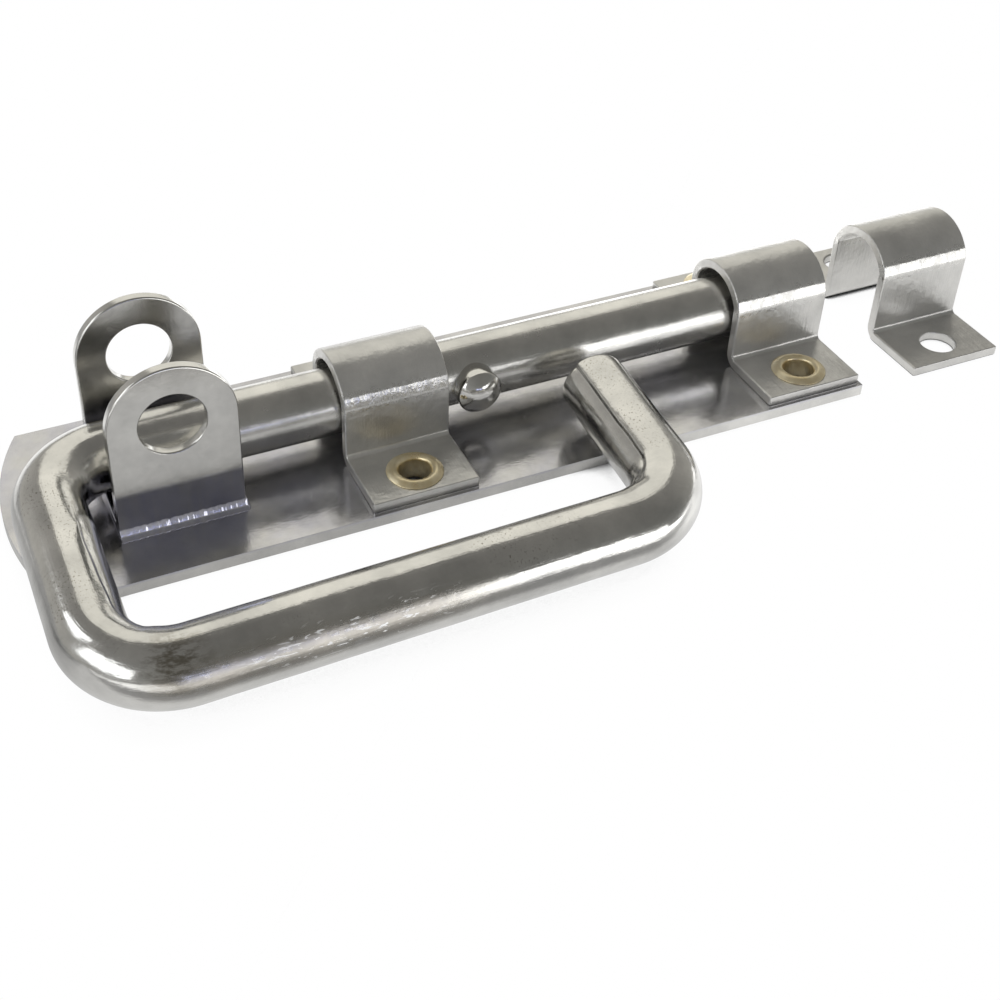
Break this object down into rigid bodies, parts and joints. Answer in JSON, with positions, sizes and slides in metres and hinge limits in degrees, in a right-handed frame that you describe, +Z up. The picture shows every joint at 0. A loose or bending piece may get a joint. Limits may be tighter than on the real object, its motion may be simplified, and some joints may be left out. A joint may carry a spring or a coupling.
{
  "type": "sliding bolt",
  "caption": "Sliding bolt with a loop handle bent from the bolt's own bar, guide straps on a plate with brass eyelets, upright padlock ears and a separate keeper strap.",
  "frame": {"origin": "centre of the plate's screw pattern, on the plate's back plane", "axes": "+X along the bolt towards the keeper, +Y towards the plate's back long edge, +Z up from the mounting surface"},
  "size_m": [0.2506, 0.1057, 0.045],
  "materials": {
    "zinc": "bright zinc plate",
    "brass": "plain brass"
  },
  "bodies": {
    "base": {"base_plate": "zinc", "padlock_bracket": "zinc", "left_guide_strap": "zinc", "right_guide_strap": "zinc", "keeper_strap": "zinc", "left_front_eyelet": "brass", "left_rear_eyelet": "brass", "right_front_eyelet": "brass", "right_rear_eyelet": "brass"},
    "rod": {"bolt_rod": "zinc"},
    "handle": {"handle_loop": "zinc", "stop_stud": "zinc"}
  },
  "joints": [
    {"name": "bolt_throw", "type": "slide", "parent": "base", "child": "rod", "axis": [1, 0, 0], "range_m": [-0.0022, 0.004]},
    {"name": "handle_lift", "type": "hinge", "parent": "rod", "child": "handle", "pos_m": [-0.1151, 0, 0.0145], "axis": [-1, 0, 0], "range_deg": [-5.3, 185.3]}
  ]
}
